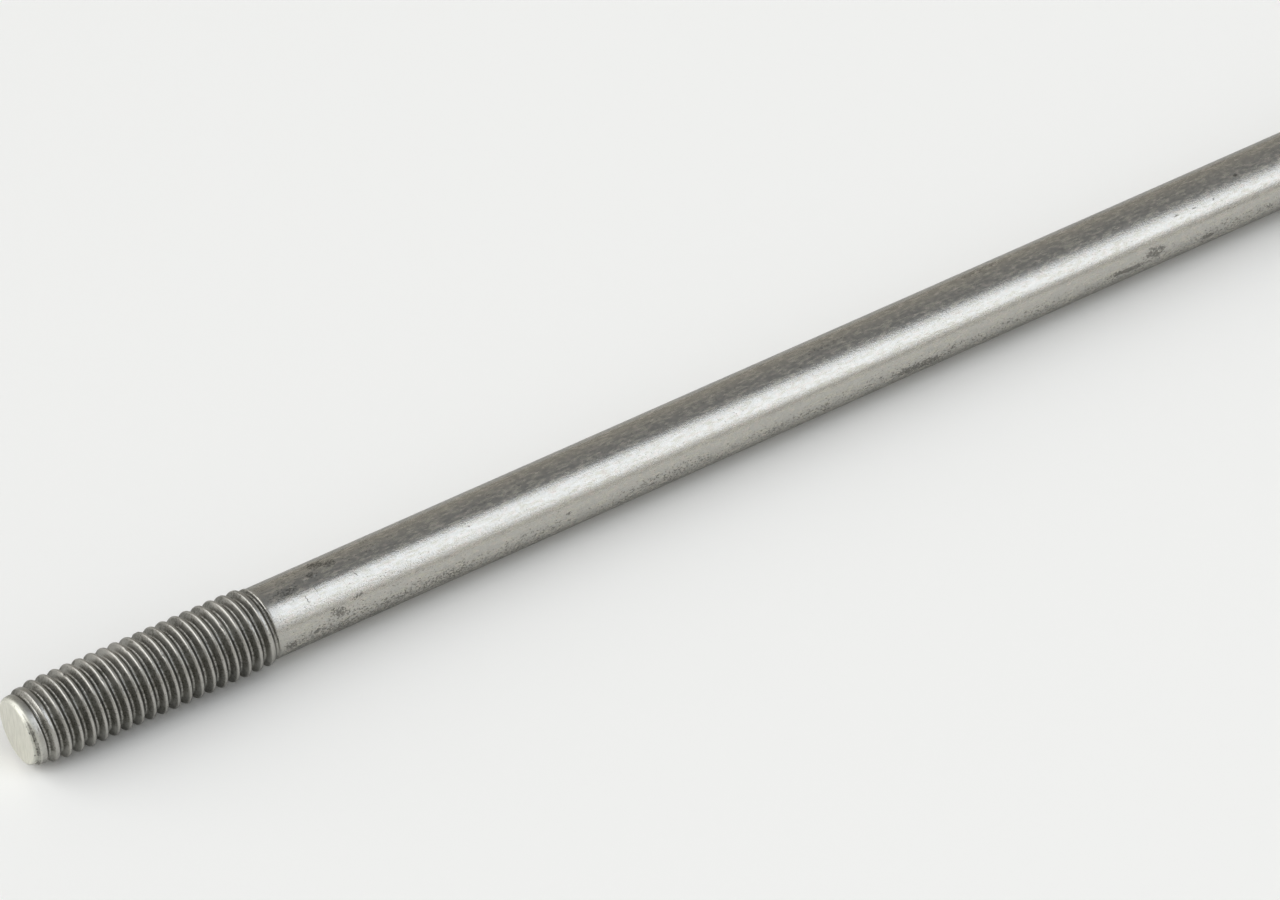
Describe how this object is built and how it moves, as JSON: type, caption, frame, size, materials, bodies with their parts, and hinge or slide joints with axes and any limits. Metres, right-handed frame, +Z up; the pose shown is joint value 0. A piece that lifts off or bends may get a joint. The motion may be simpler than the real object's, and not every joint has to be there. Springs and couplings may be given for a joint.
{
  "type": "threaded rod",
  "caption": "Round drawn steel rod with a rolled metric screw thread on one end and a plain shank, used as a tie rod, stud or hanger.",
  "frame": {"origin": "centre of the flat face of the threaded end, on the rod's axis", "axes": "+X along the rod from the threaded end to the plain end, +Z up with the rod lying level"},
  "size_m": [0.3, 0.0078, 0.0078],
  "materials": {
    "drawn_steel": "drawn and rolled, bare, with fine lengthwise lines, light mottling and a little dirt in the thread"
  },
  "bodies": {
    "root": {"threaded_rod": "drawn_steel"}
  },
  "joints": []
}
